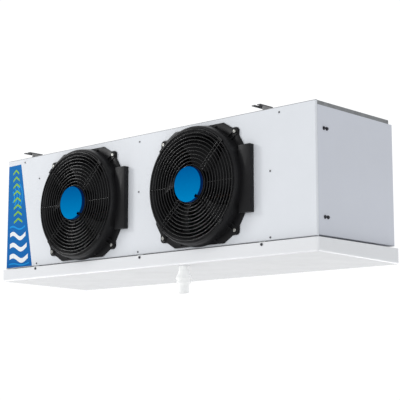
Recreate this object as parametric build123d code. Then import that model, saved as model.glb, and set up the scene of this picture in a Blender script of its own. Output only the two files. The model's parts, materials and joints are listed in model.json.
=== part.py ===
from build123d import *
import os
from math import cos, sin, radians, tan, pi

os.makedirs("parts", exist_ok=True)

# ---------------------------------------------------------------------------
# Walk-in unit cooler: a ceiling-hung, forced-air evaporator with two axial fans.
# Millimetres. The shapes are drawn from the casing datum (front lower left
# corner of the casing: X along the front, Y towards the back, Z up) and are
# moved at export, so that the stored origin is the centre of the four ceiling
# holes, on the top faces of the four suspension brackets.
# ---------------------------------------------------------------------------

# casing
CASE_L = 1606.0          # casing length
CASE_D = 442.0           # casing depth
CASE_H = 450.0           # casing height
SHEET = 1.2              # sheet thickness
FRONT_RETURN = 10.0      # folded edge of the front panel
SIDE_TOP_Z = 436.0       # top of the side covers
SIDE_BOTTOM_Z = 4.0      # bottom of the side covers
TOP_BACK_Y = 424.0       # back edge of the top cover
END_WALL_L = 190.0       # left coil end wall
END_WALL_R = 1418.0      # right coil end wall
MID_WALL_X = 774.0       # wall between the two fan chambers

# suspension brackets: one pair at the front edge of the roof, one at the back
RAIL_X = (131.0, 1361.0)
RAIL_Y0 = -11.0          # front end of the front brackets
RAIL_LEN = 67.0
RAIL_W = 40.0
RAIL_T = 2.5
RAIL_TOP_Z = 469.5
HANG_Y = (29.0, 413.0)   # ceiling hole rows
HANG_R = 5.5             # ceiling hole radius, for M10 rods

# fans
FAN_X = (474.0, 1090.0)
FAN_Z = 219.5
PLATE_HALF = 212.0       # half size of the fan plate
PLATE_FLAT = 117.0       # half length of each straight side
EAR = 172.0              # screw ears, half pitch
PLATE_T = 5.0
RIM_R = 214.0            # outer radius of the bell ring
RIM_W = 46.0             # how far the bell ring stands out
THROAT_R = 178.5         # bore that the impeller runs in
THROAT_BACK = -42.0
OPENING_R = 186.0        # round opening in the front panel
BOX_X = (200.0, 251.5)   # moulded box on the fan plate
BOX_Z = (-117.0, 118.0)
BOX_T = 22.0
WIRE_R = 1.7             # guard wire radius
RING_N = 11
RING_R0, RING_R1 = 70.0, 197.0
GUARD_W = 50.0
CAP_R = 63.5             # hub cap radius
CAP_W0, CAP_W1 = 50.5, 66.0
TIP_R = 174.5            # impeller tip radius
BLADES = 5

# drip tray
TRAY_X0, TRAY_X1 = -10.0, CASE_L + 12.0
TRAY_Y0, TRAY_Y1 = -10.0, 452.0
TRAY_TOP = -4.0
TRAY_FRONT_Z = -52.0
TRAY_BACK_Z = -60.0
TRAY_T = 1.2
TRAY_R = 9.0
HINGE_Y, HINGE_Z = 448.0, 5.0
HINGE_X = (300.0, 803.0, 1306.0)
TRAY_SCREWS = ((202.0, -11.5), (798.5, -11.5), (1381.5, -11.5))

# drain
DRAIN_X, DRAIN_Y = 990.0, 25.0

# coil
COIL_Y0, COIL_Y1 = 270.0, 402.0
COIL_Z0, COIL_Z1 = 12.0, 440.0
FIN_PITCH = 20.0
FIN_T = 0.6
TUBE_R = 6.0
TUBE_WALL = 0.5
TUBE_ROWS_Y = (286.5, 319.5, 352.5, 385.5)
TUBE_N = 8
TUBE_PITCH_Z = 50.0
TUBE_Z0 = 38.0

ORIGIN = ((RAIL_X[0] + RAIL_X[1]) / 2, (HANG_Y[0] + HANG_Y[1]) / 2, RAIL_TOP_Z)

# ---------------------------------------------------------------------------
# helpers
# ---------------------------------------------------------------------------


def box(x0, x1, y0, y1, z0, z1):
    return Pos((x0 + x1) / 2, (y0 + y1) / 2, (z0 + z1) / 2) * Box(x1 - x0, y1 - y0, z1 - z0)


def cyl_z(x, y, r, z0, z1):
    return Pos(x, y, (z0 + z1) / 2) * Cylinder(r, z1 - z0)


def cyl_y(x, z, r, y0, y1):
    return Pos(x, (y0 + y1) / 2, z) * Rot(90, 0, 0) * Cylinder(r, y1 - y0)


def cyl_x(y, z, r, x0, x1):
    return Pos((x0 + x1) / 2, y, z) * Rot(0, 90, 0) * Cylinder(r, x1 - x0)


def ring_z(r0, r1, z0, z1):
    return Pos(0, 0, (z0 + z1) / 2) * (Cylinder(r1, z1 - z0) - Cylinder(r0, z1 - z0 + 2))


def solids_of(shape):
    if isinstance(shape, (list, tuple)):
        out = []
        for s in shape:
            out += solids_of(s)
        return out
    return list(shape.solids())


def save(name, shape):
    sol = [Pos(-ORIGIN[0], -ORIGIN[1], -ORIGIN[2]) * s for s in solids_of(shape)]
    flat = []
    for s in sol:
        flat += list(s.solids())
    out = flat[0] if len(flat) == 1 else Compound(children=flat)
    out.label = name
    export_step(out, f"parts/{name}.step")


def revolved(edges):
    """Turn a closed outline, drawn as radius and height, about Z."""
    wire = Wire(edges)
    face = Plane.XZ * make_face(wire)
    return revolve(face, axis=Axis.Z)


def outline(pts):
    return [Line(pts[i], pts[(i + 1) % len(pts)]) for i in range(len(pts))]


def fan_place(shape, xf):
    """Fan parts are drawn facing +Z and are turned to face the front."""
    return Pos(xf, 0, FAN_Z) * Rot(90, 0, 0) * shape


def screw_y(x, z, head_r, head_t, shank_r, y_face, length):
    """Pan head screw whose axis runs along Y, head towards the front."""
    head = cyl_y(x, z, head_r, y_face - head_t, y_face)
    head = fillet(head.edges().filter_by(GeomType.CIRCLE).sort_by(Axis.Y)[0], head_t * 0.45)
    cut = box(x - head_r * 0.62, x + head_r * 0.62, y_face - head_t - 1, y_face - head_t * 0.55, z - 0.6, z + 0.6)
    cut2 = box(x - 0.6, x + 0.6, y_face - head_t - 1, y_face - head_t * 0.55, z - head_r * 0.62, z + head_r * 0.62)
    return (head - cut - cut2) + cyl_y(x, z, shank_r, y_face - 0.2, y_face + length)


# ---------------------------------------------------------------------------
# casing
# ---------------------------------------------------------------------------
FRONT_SCREWS = ((108.2, 432.6), (202.5, 354.9), (196.0, 10.6), (783.5, 423.6), (781.0, 234.8),
                (779.0, 11.0), (1454.0, 430.0), (1413.0, 234.7), (1411.5, 10.6))

front = box(0, CASE_L, 0, FRONT_RETURN, 0, CASE_H)
front = fillet(front.edges().group_by(Axis.Y)[0], 3.0)
inner = box(SHEET, CASE_L - SHEET, SHEET, FRONT_RETURN + 1, SHEET, CASE_H - SHEET)
front = front - fillet(inner.edges().group_by(Axis.Y)[0], 1.8)
for xf in FAN_X:
    front = front - cyl_y(xf, FAN_Z, OPENING_R, -5, 20)
    for sx in (-1, 1):
        for sz in (-1, 1):
            front = front - cyl_y(xf + sx * EAR, FAN_Z + sz * EAR, 3.0, -5, 20)
for x, z in FRONT_SCREWS:
    front = front - cyl_y(x, z, 2.0, -5, 5)
save("front_panel", front)

save("front_panel_screws", [screw_y(x, z, 3.6, 1.6, 2.0, 0.0, 11.0 if z > 429 else 7.0) for x, z in FRONT_SCREWS])

# label sheet at the left end of the front panel
label = Polygon((4, 3), (167, 3), (83, 428), (4, 427), align=None)
save("front_label", extrude(Plane.XZ * label, 0.3, dir=(0, -1, 0)))

# side covers: outer face, top, bottom and back folds that close the end chambers
SIDE_Y0 = FRONT_RETURN + 0.8


def side_cover(right):
    xo = CASE_L if right else 0.0
    d = -1 if right else 1

    def bx(a, b, y0, y1, z0, z1):
        x0, x1 = sorted((xo + d * a, xo + d * b))
        return box(x0, x1, y0, y1, z0, z1)

    s = bx(0, 186, SIDE_Y0, CASE_D, SIDE_BOTTOM_Z, SIDE_TOP_Z)
    outer_edges = [e for e in s.edges() if abs(e.center().X - xo) < 0.01 and abs(e.center().Y - SIDE_Y0) > 1]
    s = fillet(outer_edges, 1.8)
    s = s - bx(SHEET, 200, SIDE_Y0 + SHEET, CASE_D - SHEET, SIDE_BOTTOM_Z + SHEET, SIDE_TOP_Z - SHEET)
    # the front fold is a narrow flange only
    s = s - bx(14, 200, SIDE_Y0 - 1, SIDE_Y0 + SHEET + 1, SIDE_BOTTOM_Z + SHEET, SIDE_TOP_Z - SHEET)
    return s


SIDE_SCREWS = [(44.0, 359.8), (60.0, 359.8), (43.5, 65.0), (59.5, 65.0)]
right_cover = side_cover(True)
left_cover = side_cover(False)
for y, z in SIDE_SCREWS:
    right_cover = right_cover - cyl_x(y, z, 2.0, CASE_L - 10, CASE_L + 5)
    left_cover = left_cover - cyl_x(y, z, 2.0, -5, 10)

# openings in the back fold: pipe stubs on the left, cable glands on the right
SUCTION = (130.0, 160.0, 14.0)     # x, z, tube radius
LIQUID = (86.0, 190.0, 6.0)
GLANDS = ((CASE_L - 60.0, 110.0), (CASE_L - 100.0, 110.0))
for x, z, r in (SUCTION, LIQUID):
    left_cover = left_cover - cyl_y(x, z, r + 5.0, CASE_D - 10, CASE_D + 5)
for x, z in GLANDS:
    right_cover = right_cover - cyl_y(x, z, 8.0, CASE_D - 10, CASE_D + 5)
# clearance for the two roof tabs
left_cover = left_cover - box(FRONT_SCREWS[0][0] - 16.5, FRONT_SCREWS[0][0] + 16.5, SIDE_Y0 - 1, SIDE_Y0 + 2, 430, 440)
right_cover = right_cover - box(FRONT_SCREWS[6][0] - 16.5, FRONT_SCREWS[6][0] + 16.5, SIDE_Y0 - 1, SIDE_Y0 + 2, 430, 440)
save("side_cover_right", right_cover)
save("side_cover_left", left_cover)


def side_screw(y, z, right):
    # hexagon head on a wide flange
    flange = cyl_y(0, 0, 6.4, -1.6, 0.0)
    flange = fillet(flange.edges().filter_by(GeomType.CIRCLE).sort_by(Axis.Y)[0], 0.7)
    hexa = Pos(0, -1.5, 0) * Rot(90, 0, 0) * extrude(RegularPolygon(4.6, 6), 3.3)
    s = flange + hexa + cyl_y(0, 0, 2.0, -0.2, 9.0)
    if right:
        return Pos(CASE_L, y, z) * Rot(0, 0, 90) * s
    return Pos(0, y, z) * Rot(0, 0, -90) * s


save("side_cover_screws", [side_screw(y, z, r) for y, z in SIDE_SCREWS for r in (True, False)])

# top cover: galvanised sheet with lips turned down over the side covers
top = box(2.5, CASE_L - 2.5, FRONT_RETURN + 0.5, TOP_BACK_Y, CASE_H - 1.4, CASE_H)
top = top + box(2.5, 3.9, FRONT_RETURN + 0.5, TOP_BACK_Y, SIDE_TOP_Z + 0.3, CASE_H)
top = top + box(CASE_L - 3.9, CASE_L - 2.5, FRONT_RETURN + 0.5, TOP_BACK_Y, SIDE_TOP_Z + 0.3, CASE_H)
top = top + box(196, 1411, TOP_BACK_Y - 1.4, TOP_BACK_Y, CASE_H - 9.0, CASE_H)
for x, z in (FRONT_SCREWS[0], FRONT_SCREWS[6]):
    top = top + box(x - 16, x + 16, FRONT_RETURN + 0.5, FRONT_RETURN + 1.9, 421.0, CASE_H)
    top = top - cyl_y(x, z, 2.0, 0, 20)
save("top_cover", top)


# coil end walls and the wall between the fan chambers
def wall(x, y1, d):
    w = box(x, x + SHEET, SHEET + 0.05, y1, 1.6, CASE_H - 1.6)
    x0, x1 = sorted((x + (0 if d > 0 else SHEET), x + d * 16))
    w = w + box(x0, x1, SHEET + 0.05, 2 * SHEET + 0.05, 4.0, CASE_H - 12.0)
    for sx, sz in FRONT_SCREWS:
        if x0 < sx < x1:
            w = w - cyl_y(sx, sz, 2.0, 0, 9)
    return w


left_wall = wall(END_WALL_L, TOP_BACK_Y - 2.0, 1)
right_wall = wall(END_WALL_R, TOP_BACK_Y - 2.0, -1)
mid_wall = wall(MID_WALL_X, COIL_Y0 - 20.0, 1)


def tube_points():
    pts = []
    for i, y in enumerate(TUBE_ROWS_Y):
        for k in range(TUBE_N):
            z = TUBE_Z0 + k * TUBE_PITCH_Z + (TUBE_PITCH_Z / 2 if i % 2 else 0)
            pts.append((y, z))
    return pts


PTS = tube_points()
for y, z in PTS:
    left_wall = left_wall - cyl_x(y, z, TUBE_R, END_WALL_L - 2, END_WALL_L + 4)
    right_wall = right_wall - cyl_x(y, z, TUBE_R, END_WALL_R - 2, END_WALL_R + 4)
save("coil_end_wall_left", left_wall)
save("coil_end_wall_right", right_wall)
save("fan_chamber_wall", mid_wall)

# back rail under the coil, which also carries the tray hinges
rail = box(END_WALL_L + SHEET, END_WALL_R, COIL_Y1 + 1, CASE_D, 0.0, 1.5)
rail = rail + box(END_WALL_L + SHEET, END_WALL_R, CASE_D - 1.5, CASE_D, 0.0, 24.0)
save("coil_back_rail", rail)

# ---------------------------------------------------------------------------
# coil: aluminium fins on copper tubes, expanded into the fins
# ---------------------------------------------------------------------------
fins = []
x = END_WALL_L + SHEET + 10.0
while x < END_WALL_R - 8.0:
    fins.append(box(x, x + FIN_T, COIL_Y0, COIL_Y1, COIL_Z0, COIL_Z1))
    x += FIN_PITCH
save("coil_fins", fins)

T0, T1 = END_WALL_L - 12.0, END_WALL_R + SHEET + 12.0
tubes = []
for y, z in PTS:
    tubes.append(cyl_x(y, z, TUBE_R, T0, T1) - cyl_x(y, z, TUBE_R - TUBE_WALL, T0 - 1, T1 + 1))
save("coil_tubes", tubes)


def u_bend(p, q, x, d):
    """Return bend between two tube ends p and q, as y, z pairs, at one end of the coil."""
    a = Vector(x, p[0], p[1])
    b = Vector(x, q[0], q[1])
    mid = (a + b) / 2 + Vector(d * (b - a).length / 2, 0, 0)
    path = ThreePointArc(a, mid, b)
    pl = Plane(origin=a, z_dir=(d, 0, 0))
    sec = pl * Circle(TUBE_R)
    return sweep(sec, path=path)


bends = []
for i in range(4):
    row = [p for p in PTS if abs(p[0] - TUBE_ROWS_Y[i]) < 0.1]
    for k in range(0, TUBE_N, 2):
        bends.append(u_bend(row[k], row[k + 1], T1, 1))
    for k in range(1, TUBE_N - 1, 2):
        bends.append(u_bend(row[k], row[k + 1], T0, -1))
save("return_bends", bends)


def rod(a, b, r):
    """Round bar between two points."""
    a, b = Vector(*a), Vector(*b)
    return extrude(Plane(origin=a, z_dir=b - a) * Circle(r), (b - a).length)


# suction header in the left end chamber: it joins the top tube of each row,
# drops beside the coil and leaves through the back fold of the cover
SX, SZ, SR = SUCTION
TOP_Z = 400.5
suction = cyl_y(SX, TOP_Z, SR, 241.0, 400.0) + cyl_z(SX, 255.0, SR, SZ - SR, TOP_Z + SR)
suction = suction + cyl_y(SX, SZ, SR + 0.6, 241.0, CASE_D + 2.5) + cyl_y(SX, SZ, SR, CASE_D, CASE_D + 38.0)
for y, z in [p for p in PTS if p[1] > TUBE_Z0 + (TUBE_N - 1) * TUBE_PITCH_Z - 1]:
    suction = suction + cyl_x(y, z, TUBE_R, SX, T0)
suction = suction - cyl_y(SX, SZ, SR - 1.2, CASE_D - 20, CASE_D + 45)
save("suction_header", suction)

# liquid inlet with the expansion valve, the distributor and its thin tubes
LX, LZ, LR = LIQUID
liquid = cyl_y(LX, LZ, LR + 0.5, 331.2, CASE_D + 2.5) + cyl_y(LX, LZ, LR, CASE_D, CASE_D + 38.0)
liquid = liquid - cyl_y(LX, LZ, LR - 0.9, CASE_D - 20, CASE_D + 45)
save("liquid_inlet_tube", liquid)
valve = cyl_z(LX, 318.0, 13.0, 165.0, 215.0) + cyl_z(LX, 318.0, 19.0, 215.0, 227.0)
valve = valve + box(LX - 12, LX + 12, 306, 331.2, 178, 202)
save("expansion_valve", valve)
dist = Pos(LX, 318.0, 150.0) * Cone(8.0, 13.0, 30.0)
for y, z in [p for p in PTS if p[1] < TUBE_Z0 + TUBE_PITCH_Z / 2 + 1]:
    dist = dist + rod((LX + 2, 318.0 + (y - 336.0) * 0.06, 137.0), (T0 - 2.0, y, z), 2.4)
    dist = dist + cyl_x(y, z, TUBE_R, T0 - 3.0, T0)
save("liquid_distributor", dist)

# defrost heaters: stainless rods in front of the coil, each bent back at the left
heaters = []
for z in (70.0, 190.0, 310.0):
    a = cyl_x(258.0, z, 4.2, END_WALL_L + 30, END_WALL_R - 4)
    b = cyl_x(258.0, z + 60, 4.2, END_WALL_L + 30, END_WALL_R - 4)
    pa, pb = Vector(END_WALL_L + 30, 258.0, z), Vector(END_WALL_L + 30, 258.0, z + 60)
    pm = Vector(END_WALL_L + 30 - 30 * 0.8, 258.0, z + 30)
    arc = ThreePointArc(pa, pm, pb)
    bend = sweep(Plane(origin=pa, z_dir=arc % 0) * Circle(4.2), path=arc)
    # tangent to the rods only to the eye: the ends overlap the rods a little
    heaters.append(a + b + bend)
save("defrost_heaters", heaters)
# terminal box in the right end chamber
TBX0, TBX1, TBY0, TBY1, TBZ0, TBZ1 = 1440.0, 1560.0, 90.0, 240.0, 90.0, 180.0
tb = box(TBX0, TBX1, TBY0, TBY1, TBZ0, TBZ1) - box(TBX0 + 3, TBX1 + 1, TBY0 + 3, TBY1 - 3, TBZ0 + 3, TBZ1 - 3)
tb = tb + box(END_WALL_R + SHEET, TBX0 + 0.5, 110, 130, 120, 150) + box(END_WALL_R + SHEET, TBX0 + 0.5, 200, 220, 120, 150)
save("terminal_box", tb)
lid = box(TBX1 + 0.1, TBX1 + 4, TBY0, TBY1, TBZ0, TBZ1)
lid = fillet(lid.edges().group_by(Axis.X)[-1], 1.5)
save("terminal_box_lid", lid)

glands = []
for x, z in GLANDS:
    g = cyl_y(x, z, 11.0, CASE_D, CASE_D + 6) + cyl_y(x, z, 10.0, CASE_D + 6, CASE_D + 16)
    g = g + cyl_y(x, z, 8.0, CASE_D - SHEET - 8, CASE_D)
    g = g + cyl_y(x, z, 11.0, CASE_D - SHEET - 6, CASE_D - SHEET)
    g = g - cyl_y(x, z, 5.0, CASE_D - 20, CASE_D + 20)
    glands.append(g)
save("cable_glands", glands)
grommets = []
for x, z, r in ((SX, SZ, SR + 0.6), (LX, LZ, LR + 0.5)):
    g = cyl_y(x, z, r + 7.0, CASE_D, CASE_D + 2.5) + cyl_y(x, z, r + 4.4 if r > 10 else r + 4.5, CASE_D - SHEET - 2.5, CASE_D)
    g = g - cyl_y(x, z, r, CASE_D - 20, CASE_D + 20)
    grommets.append(g)
save("pipe_grommets", grommets)

# ---------------------------------------------------------------------------
# four suspension brackets on the roof, for four threaded rods
# ---------------------------------------------------------------------------


def bracket(xc, back):
    """Z-shaped bracket: top plate, web on its right, foot on the roof."""
    x0, x1 = xc - RAIL_W / 2, xc + RAIL_W / 2
    z1 = RAIL_TOP_Z
    y0, y1 = RAIL_Y0, RAIL_Y0 + RAIL_LEN
    plate = box(x0, x1, y0, y1, z1 - RAIL_T, z1)
    corners = [e for e in plate.edges().filter_by(Axis.Z) if e.center().Y < y0 + 1]
    plate = fillet(corners, 3.0)
    b = plate + box(x1 - RAIL_T, x1, 3.0, y1, CASE_H, z1)
    foot = box(x1 - RAIL_T, x1 + 20.0, 18.5, y1, CASE_H, CASE_H + RAIL_T)
    b = b + fillet([e for e in foot.edges().filter_by(Axis.Z) if e.center().X > x1 + 19], 4.0)
    # open notch in the outer end
    b = b - box(xc - 5.5, xc + 5.5, y0 - 1, y0 + 14, z1 - 5, z1 + 1)
    b = b - cyl_z(xc, y0 + 14, 5.5, z1 - 5, z1 + 1)
    b = b - cyl_z(xc, HANG_Y[0], HANG_R, z1 - 5, z1 + 1)
    for y in BRACKET_SCREW_Y:
        b = b - cyl_z(x1 + 11.0, y, 3.0, CASE_H - 1, CASE_H + RAIL_T + 1)
    if back:
        b = Pos(0, CASE_D, 0) * mirror(b, about=Plane.XZ)
    return b


BRACKET_SCREW_Y = (25.0, 47.0)
save("suspension_brackets", [bracket(xc, back) for xc in RAIL_X for back in (False, True)])
bracket_screws = []
for xc in RAIL_X:
    for y in BRACKET_SCREW_Y:
        for yy in (y, CASE_D - y):
            x = xc + RAIL_W / 2 + 11.0
            h = Pos(x, yy, CASE_H + RAIL_T) * extrude(RegularPolygon(5.8, 6), 4.4)
            bracket_screws.append(h + cyl_z(x, yy, 3.0, CASE_H, CASE_H + RAIL_T + 0.5))
save("bracket_screws", bracket_screws)

# ---------------------------------------------------------------------------
# drip tray, hinged along its back edge
# ---------------------------------------------------------------------------


def tray_block(inset, top_z, radius):
    y0, y1 = TRAY_Y0 + inset, TRAY_Y1 - inset
    slope = (TRAY_BACK_Z - TRAY_FRONT_Z) / (TRAY_Y1 - TRAY_Y0)
    zf = TRAY_FRONT_Z + inset + slope * inset
    zb = TRAY_BACK_Z + inset - slope * inset
    prof = Plane.YZ * Polygon((y0, top_z), (y0, zf), (y1, zb), (y1, top_z), align=None)
    b = Pos(TRAY_X0 + inset, 0, 0) * extrude(prof, TRAY_X1 - TRAY_X0 - 2 * inset, dir=(1, 0, 0))
    keep = [e for e in b.edges() if e.center().Z < top_z - 1.0]
    return fillet(keep, radius)


tray = tray_block(0.0, TRAY_TOP, TRAY_R) - tray_block(TRAY_T, TRAY_TOP + 20.0, TRAY_R - TRAY_T)
tray = tray - cyl_z(DRAIN_X, DRAIN_Y, 16.5, -80, -20)
for x, z in TRAY_SCREWS:
    tray = tray - cyl_y(x, z, 2.0, TRAY_Y0 - 3, TRAY_Y0 + 5)
save("drip_tray", tray)

tabs, tray_screws, tray_nuts = [], [], []
for x, z in TRAY_SCREWS:
    tab = box(x - 14, x + 14, TRAY_Y0 + TRAY_T + 1.6, 20.0, -1.5, 0.0)
    tab = tab + box(x - 14, x + 14, TRAY_Y0 + TRAY_T + 1.6, TRAY_Y0 + TRAY_T + 3.1, -21.0, 0.0)
    tab = tab - box(x - 3.2, x + 3.2, TRAY_Y0, 0.0, -30.0, z) - cyl_y(x, z, 3.2, TRAY_Y0, 0.0)
    tabs.append(tab)
    tray_screws.append(screw_y(x, z, 5.0, 3.0, 2.0, TRAY_Y0, 11.0))
    ny = TRAY_Y0 + TRAY_T + 3.1 + 0.5
    nut = Pos(x, ny, z) * Rot(-90, 0, 0) * extrude(RegularPolygon(4.0, 6), 3.2)
    tray_nuts.append(nut - cyl_y(x, z, 2.0, ny - 2, ny + 8))
save("tray_tabs", tabs)
save("tray_screws", tray_screws)
save("tray_nuts", tray_nuts)

# hinges: two outer knuckles on the casing, one inner knuckle on the tray
case_leaves, tray_leaves, pins = [], [], []
for x in HINGE_X:
    leaf = box(x - 30, x + 30, CASE_D, CASE_D + 1.5, HINGE_Z - 3.0, 22.0)
    for a, b in ((-30, -12), (12, 30)):
        k = cyl_x(HINGE_Y, HINGE_Z, 3.8, x + a, x + b) + box(x + a, x + b, CASE_D + 1.0, HINGE_Y, HINGE_Z - 1.5, HINGE_Z + 2.5)
        leaf = leaf + k
    leaf = leaf - cyl_x(HINGE_Y, HINGE_Z, 2.0, x - 40, x + 40)
    case_leaves.append(leaf)
    t = box(x - 30, x + 30, TRAY_Y1, TRAY_Y1 + 1.5, -28.0, TRAY_TOP - 1.0)
    t = t + box(x - 11.4, x + 11.4, TRAY_Y1, TRAY_Y1 + 1.5, -28.0, HINGE_Z)
    t = t + cyl_x(HINGE_Y, HINGE_Z, 3.8, x - 11.4, x + 11.4) + box(x - 11.4, x + 11.4, HINGE_Y, TRAY_Y1 + 1.0, HINGE_Z - 2.0, HINGE_Z + 1.5)
    t = t - cyl_x(HINGE_Y, HINGE_Z, 2.06, x - 40, x + 40)
    tray_leaves.append(t)
    pins.append(cyl_x(HINGE_Y, HINGE_Z, 2.0, x - 30, x + 30) + cyl_x(HINGE_Y, HINGE_Z, 3.2, x + 30, x + 31.5))
save("hinge_leaves_casing", case_leaves)
save("hinge_leaves_tray", tray_leaves)
save("hinge_pins", pins)

# drain: spigot from inside the tray, gasket, lock ring and hose coupling below
SL = (TRAY_BACK_Z - TRAY_FRONT_Z) / (TRAY_Y1 - TRAY_Y0)
FLOOR_OUT = TRAY_FRONT_Z + SL * (DRAIN_Y - TRAY_Y0)
FLOOR_IN = FLOOR_OUT + TRAY_T
gz = FLOOR_IN + 0.5
save("drain_gasket", ring_z(16.5, 23.0, gz, gz + 2.0).moved(Location((DRAIN_X, DRAIN_Y, 0))))
spig = revolved(outline([(12.0, gz + 5.0), (24.0, gz + 5.0), (24.0, gz + 2.0), (16.5, gz + 2.0), (16.5, -112.0), (12.0, -112.0)]))
save("drain_spigot", spig.moved(Location((DRAIN_X, DRAIN_Y, 0))))
lz = FLOOR_OUT - 0.5
lock = revolved(outline([(16.5, lz), (18.6, lz), (18.6, -69.5), (16.5, -69.5)]))
save("drain_lock_ring", lock.moved(Location((DRAIN_X, DRAIN_Y, 0))))
coup = revolved(outline([(16.5, -70.0), (18.8, -70.0), (28.2, -96.0), (28.8, -101.0), (25.4, -103.0), (25.4, -106.0),
                         (26.2, -108.0), (26.2, -114.0), (25.0, -116.0), (19.0, -116.0), (19.0, -151.0), (16.0, -151.0),
                         (16.0, -112.0), (16.5, -112.0)]))
save("drain_coupling", coup.moved(Location((DRAIN_X, DRAIN_Y, 0))))

# ---------------------------------------------------------------------------
# fans, drawn facing +Z (w) and turned at the end
# ---------------------------------------------------------------------------


def fan_housing():
    s = EAR + 16.0
    h = PLATE_HALF
    f = PLATE_FLAT
    quarter = [(f, h), (158.0, 186.5), (s - 6.0, 187.5), (s - 0.5, s - 6.0), (186.5, 158.0), (h, f)]
    pts = []
    pts += quarter
    pts += [(x, -y) for x, y in reversed(quarter)]
    pts += [(-x, -y) for x, y in quarter]
    pts += [(-x, y) for x, y in reversed(quarter)]
    plate = extrude(Polygon(*pts, align=None), PLATE_T, dir=(0, 0, 1))
    vert = [e for e in plate.edges().filter_by(Axis.Z)]
    plate = fillet(vert, 3.0)
    plate = plate - Cylinder(THROAT_R + 4, 40)
    # hollow bell ring: outer wall, rolled front edge and inner flare down to the throat
    ro, w1 = RIM_R, RIM_W
    outer = [
        Line((THROAT_R, THROAT_BACK), (THROAT_R, 6.0)),
        ThreePointArc((THROAT_R, 6.0), (THROAT_R + 5.0, 26.0), (ro - 18.0, w1 - 3.5)),
        ThreePointArc((ro - 18.0, w1 - 3.5), (ro - 12.5, w1), (ro - 8.0, w1 - 1.2)),
        ThreePointArc((ro - 8.0, w1 - 1.2), (ro - 3.0, w1 - 6.0), (ro - 1.5, w1 - 14.0)),
        Line((ro - 1.5, w1 - 14.0), (ro + 2.0, 2.0)),
        Line((ro + 2.0, 2.0), (ro - 1.0, 0.0)),
        Line((ro - 1.0, 0.0), (ro - 5.0, w1 - 15.0)),
        Line((ro - 5.0, w1 - 15.0), (ro - 10.5, w1 - 4.6)),
        Line((ro - 10.5, w1 - 4.6), (ro - 16.0, w1 - 7.0)),
        ThreePointArc((ro - 16.0, w1 - 7.0), (THROAT_R + 8.5, 24.0), (THROAT_R + 3.2, 6.0)),
        Line((THROAT_R + 3.2, 6.0), (THROAT_R + 3.2, THROAT_BACK)),
        Line((THROAT_R + 3.2, THROAT_BACK), (THROAT_R, THROAT_BACK)),
    ]
    bell = revolved(outer)
    bx = box(BOX_X[0], BOX_X[1], BOX_Z[0], BOX_Z[1], 0.0, BOX_T)
    bx = fillet(bx.edges().filter_by(Axis.Z), 2.5)
    bx = fillet(bx.edges().group_by(Axis.Z)[-1], 1.5)
    bx = bx - box(BOX_X[0] + 3, BOX_X[1] - 3, BOX_Z[0] + 3, BOX_Z[1] - 3, -1.0, BOX_T - 3)
    bx = bx - Cylinder(RIM_R - 3.0, 80)
    # the plate keeps only what lies outside the bell ring's hollow
    plate_out = plate - Cylinder(RIM_R - 0.5, 60)
    ears = None
    for sx in (-1, 1):
        for sy in (-1, 1):
            boss = Pos(sx * EAR, sy * EAR, 4.0) * Cylinder(13.5, 8.0)
            boss = boss - Cylinder(RIM_R + 1, 60)
            ears = boss if ears is None else ears + boss
    out = bell + plate_out + bx + ears
    for sx in (-1, 1):
        for sy in (-1, 1):
            out = out - Pos(sx * EAR, sy * EAR, 0) * Cylinder(3.6, 40)
    return out


def fan_guard():
    g = None
    rs = [RING_R0 + i * (RING_R1 - RING_R0) / (RING_N - 1) for i in range(RING_N)]
    for r in rs:
        t = ring_z(r - WIRE_R, r + WIRE_R, GUARD_W - WIRE_R, GUARD_W + WIRE_R)
        g = t if g is None else g + t
    wz = RIM_W + WIRE_R + 0.1

    def spoke(ang, off, r0, r1):
        b = Pos((r0 + r1) / 2, off, wz) * Box(r1 - r0, 2 * WIRE_R, 2 * WIRE_R)
        return Rot(0, 0, ang) * b

    for a in (45, 135, 225, 315):
        for off in (-6.5, 6.5):
            g = g + spoke(a, off, 52.0, RIM_R - 9.0)
    for a in (0, 180):
        g = g + spoke(a, 0.0, 52.0, RING_R1 + WIRE_R)
    centre = ring_z(16.0, 64.0, GUARD_W - WIRE_R - 2.0, GUARD_W + 0.5)
    g = g + centre
    for k in range(4):
        g = g - Rot(0, 0, 45 + 90 * k) * (Pos(38.0, 0, GUARD_W) * Cylinder(2.6, 20))
    return g


CAPH = CAP_W1 - CAP_W0
cap = Pos(0, 0, CAP_W0 + CAPH / 2) * Cylinder(CAP_R, CAPH)
cap = fillet(cap.edges().group_by(Axis.Z)[-1], 2.0)
cap = cap - Pos(0, 0, CAP_W0 + CAPH / 2 - 2.2) * Cylinder(CAP_R - 2.2, CAPH)
cap = cap - Rot(0, 0, -48) * box(CAP_R - 7, CAP_R + 3, -6.5, 6.5, CAP_W0 - 1, CAP_W1 + 1)

BASE_FRONT = GUARD_W - WIRE_R - 2.0
motor_base = ring_z(14.0, 52.0, BASE_FRONT - 7.0, BASE_FRONT) + ring_z(11.0, 14.2, -6.0, BASE_FRONT)
for k in range(4):
    motor_base = motor_base - Rot(0, 0, 45 + 90 * k) * (Pos(38.0, 0, BASE_FRONT) * Cylinder(2.0, 30))
stator = ring_z(14.2, 36.5, 2.0, 28.0)
for k in range(12):
    stator = stator - Rot(0, 0, 30 * k) * (Pos(29.0, 0, 15.0) * Box(13.0, 5.0, 27.0))
windings = [Rot(0, 0, 30 * k) * (Pos(28.5, 0, 15.0) * Box(11.0, 4.4, 32.0)) for k in range(12)]
bearings = [ring_z(4.05, 11.0, 28.0, 35.0), ring_z(4.05, 11.0, -5.0, 2.0)]
rotor = revolved(outline([(0, -14.0), (46.0, -14.0), (46.0, 33.0), (39.0, 33.0), (39.0, -10.0), (4.0, -10.0), (4.0, 38.0), (0, 38.0)]))


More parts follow.
